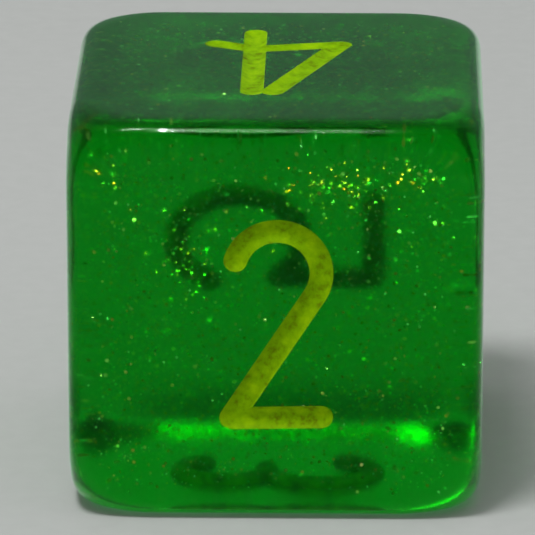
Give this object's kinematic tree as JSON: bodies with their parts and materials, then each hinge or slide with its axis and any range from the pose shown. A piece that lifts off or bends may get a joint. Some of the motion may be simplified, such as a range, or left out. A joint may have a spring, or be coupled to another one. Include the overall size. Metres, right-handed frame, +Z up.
{
  "type": "numbered gaming die",
  "caption": "Clear green glitter cube die with rounded edges and corners and an engraved, paint-filled numeral on each face.",
  "frame": {"origin": "middle of the bottom face, on the surface that the die rests on", "axes": "+Z up out of the face numbered 4; -Y out of the face numbered 2; +X out of the face numbered 1"},
  "size_m": [0.016, 0.016, 0.016],
  "materials": {
    "green_resin": "clear green cast resin with glitter in it, tumbled and polished",
    "numeral_paint": "olive-yellow acrylic paint wiped into the engraving",
    "glitter": "gold and green foil flakes"
  },
  "bodies": {
    "root": {"die_body": "green_resin", "numeral_1_paint": "numeral_paint", "numeral_2_paint": "numeral_paint", "numeral_3_paint": "numeral_paint", "numeral_4_paint": "numeral_paint", "numeral_5_paint": "numeral_paint", "numeral_6_paint": "numeral_paint"}
  },
  "joints": []
}
